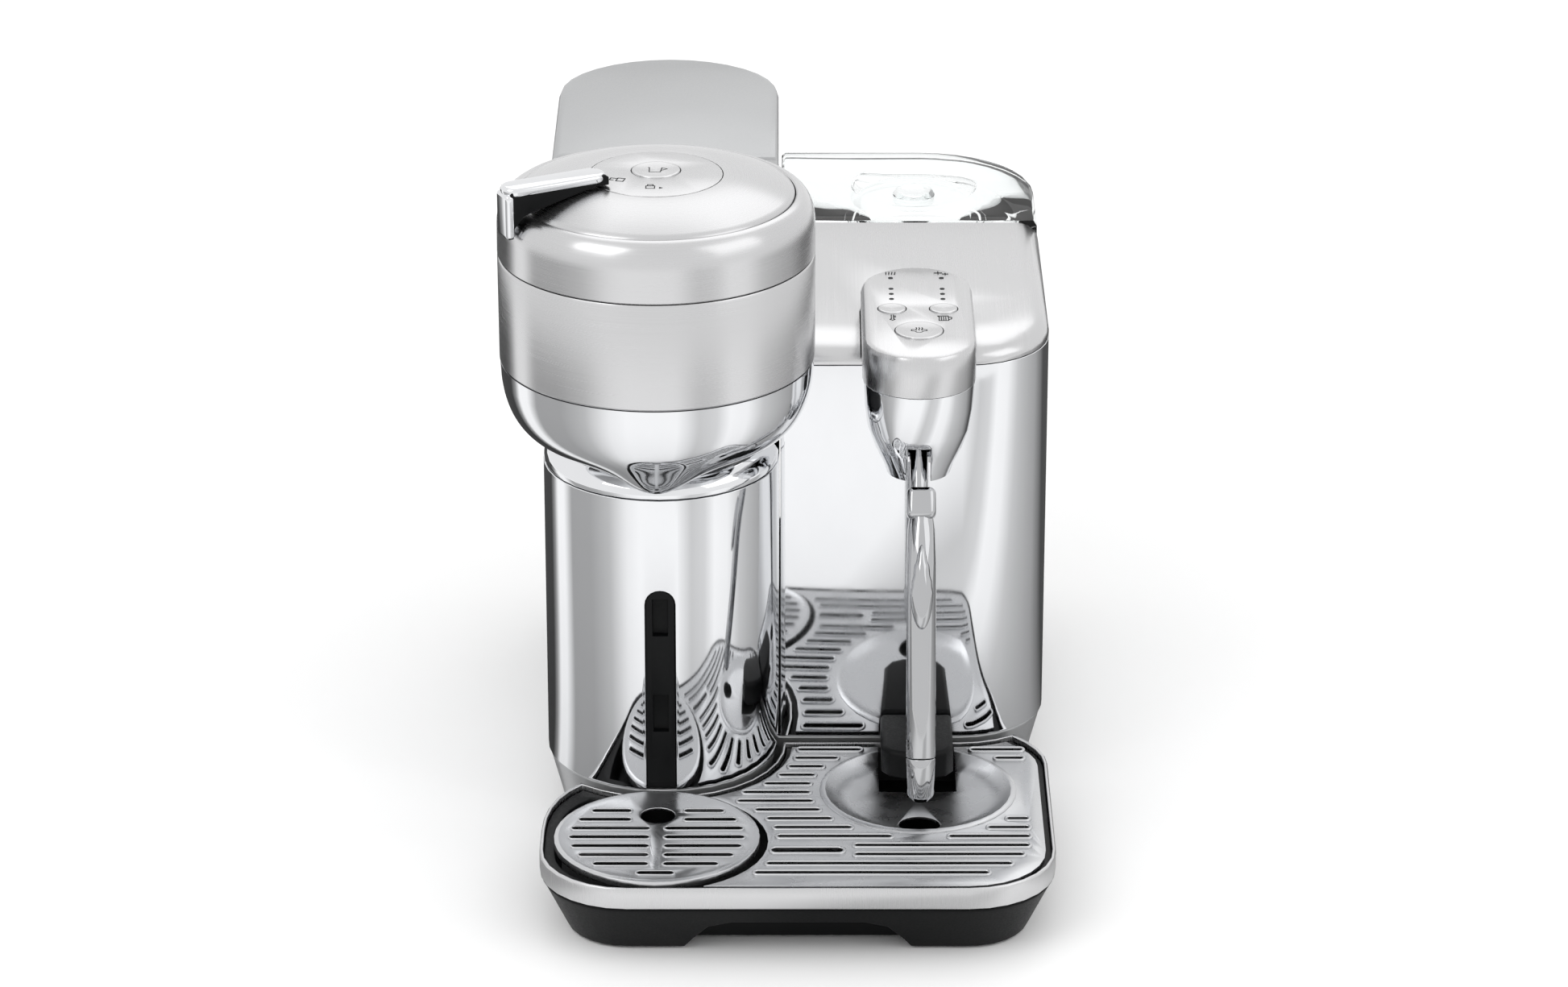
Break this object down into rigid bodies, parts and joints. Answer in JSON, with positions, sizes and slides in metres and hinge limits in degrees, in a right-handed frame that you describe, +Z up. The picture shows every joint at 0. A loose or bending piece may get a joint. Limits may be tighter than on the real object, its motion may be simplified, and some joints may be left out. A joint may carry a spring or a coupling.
{
  "type": "pod coffee machine",
  "caption": "Countertop pod coffee machine in brushed and polished steel, with a round brewing head, steam wand, water tank and drip tray.",
  "frame": {"origin": "on the table under the middle of the machine", "axes": "+Z up, front towards -Y, +X to the right seen from the front"},
  "size_m": [0.248, 0.4196, 0.34],
  "materials": {
    "brushed": "brushed",
    "polished": "polished",
    "satin": "satin",
    "silver": "satin",
    "black": "matte",
    "rubber": "matte",
    "clear": "clear gloss",
    "heater": "cast",
    "board": "matte",
    "float_red": "satin"
  },
  "bodies": {
    "machine": {"hood": "brushed", "head_band": "brushed", "pod_cap": "brushed", "column_shell": "polished", "column_cap": "polished", "body_panel": "polished", "head_bowl": "polished", "pod_neck": "polished", "tower_cover": "satin", "body_apron": "silver", "column_neck": "silver", "holder_bearing": "silver", "flow_meter": "silver", "base_pan": "black", "cup_rail": "black", "tank_bulkhead": "black", "bin_bulkhead": "black", "bin_dock": "black", "tank_plinth": "black", "brew_chamber": "black", "brew_motor": "black", "drive_belt": "black", "pod_board": "black", "jug_sensor": "black", "water_pump": "black", "mains_inlet": "black", "rubber_foot_1": "rubber", "rubber_foot_2": "rubber", "rubber_foot_3": "rubber", "rubber_foot_4": "rubber", "coffee_heater": "heater", "steam_heater": "heater", "control_board": "board"},
    "drip_tray": {"tray_tub": "black", "tray_band": "brushed", "tray_pull_plate": "black", "tray_float": "float_red", "tray_grille": "brushed"},
    "cup_support": {"cup_support": "brushed"},
    "lid": {"lid_ring": "brushed", "lid_dome": "satin", "lid_disc": "brushed", "piercing_plate": "black"},
    "lever": {"lid_lever": "polished"},
    "brew_button": {"brew_button": "brushed"},
    "capsule_holder": {"capsule_holder": "silver"},
    "motor_pulley": {"motor_pulley": "black"},
    "steam_button": {"steam_button": "brushed"},
    "temp_button": {"temp_button": "brushed"},
    "froth_button": {"froth_button": "brushed"},
    "wand": {"wand_arm": "polished", "wand_tube": "polished", "wand_tip": "polished"},
    "tank": {"water_tank": "clear", "tank_valve": "black"},
    "tank_lid": {"tank_lid": "clear", "tank_knob": "clear"},
    "capsule_bin": {"capsule_bin": "satin", "bin_cover": "satin"}
  },
  "joints": [
    {"name": "tray_slide", "type": "slide", "parent": "machine", "child": "drip_tray", "axis": [0, -1, 0], "range_m": [0, 0.16]},
    {"name": "support_lift", "type": "slide", "parent": "drip_tray", "child": "cup_support", "axis": [0, 0, 1], "range_m": [0, 0.0854]},
    {"name": "lid_hinge", "type": "hinge", "parent": "machine", "child": "lid", "pos_m": [-0.0538, -0.0375, 0.301], "axis": [-1, 0, 0], "range_deg": [0, 60]},
    {"name": "lever_turn", "type": "hinge", "parent": "lid", "child": "lever", "pos_m": [-0.054, -0.1087, 0.33], "axis": [0, 0, 1], "range_deg": [0, 60]},
    {"name": "brew_button_press", "type": "slide", "parent": "lid", "child": "brew_button", "axis": [0, 0, -1], "range_m": [0, 0.0012], "stiffness_N_per_m": 600},
    {"name": "holder_spin", "type": "hinge", "parent": "machine", "child": "capsule_holder", "pos_m": [-0.054, -0.1087, 0.26], "axis": [0, 0, 1], "continuous": true},
    {"name": "pulley_spin", "type": "hinge", "parent": "machine", "child": "motor_pulley", "pos_m": [-0.054, -0.0587, 0.236], "axis": [0, 0, 1], "continuous": true},
    {"name": "steam_button_press", "type": "slide", "parent": "machine", "child": "steam_button", "axis": [0, 0, -1], "range_m": [0, 0.0012], "stiffness_N_per_m": 600},
    {"name": "temp_button_press", "type": "slide", "parent": "machine", "child": "temp_button", "axis": [0, 0, -1], "range_m": [0, 0.0012], "stiffness_N_per_m": 600},
    {"name": "froth_button_press", "type": "slide", "parent": "machine", "child": "froth_button", "axis": [0, 0, -1], "range_m": [0, 0.0012], "stiffness_N_per_m": 600},
    {"name": "wand_pivot", "type": "hinge", "parent": "machine", "child": "wand", "pos_m": [0.0628, -0.084, 0.196], "axis": [-1, 0, 0], "range_deg": [0, 30]},
    {"name": "tank_lift", "type": "slide", "parent": "machine", "child": "tank", "axis": [0, 0, 1], "range_m": [0, 0.2]},
    {"name": "tank_lid_lift", "type": "slide", "parent": "tank", "child": "tank_lid", "axis": [0, 0, 1], "range_m": [0, 0.06]},
    {"name": "bin_lift", "type": "slide", "parent": "machine", "child": "capsule_bin", "axis": [0, 0, 1], "range_m": [0, 0.2]}
  ],
  "couplings": [
    {"joint": "pulley_spin", "follows": "holder_spin", "ratio": 1.4}
  ]
}
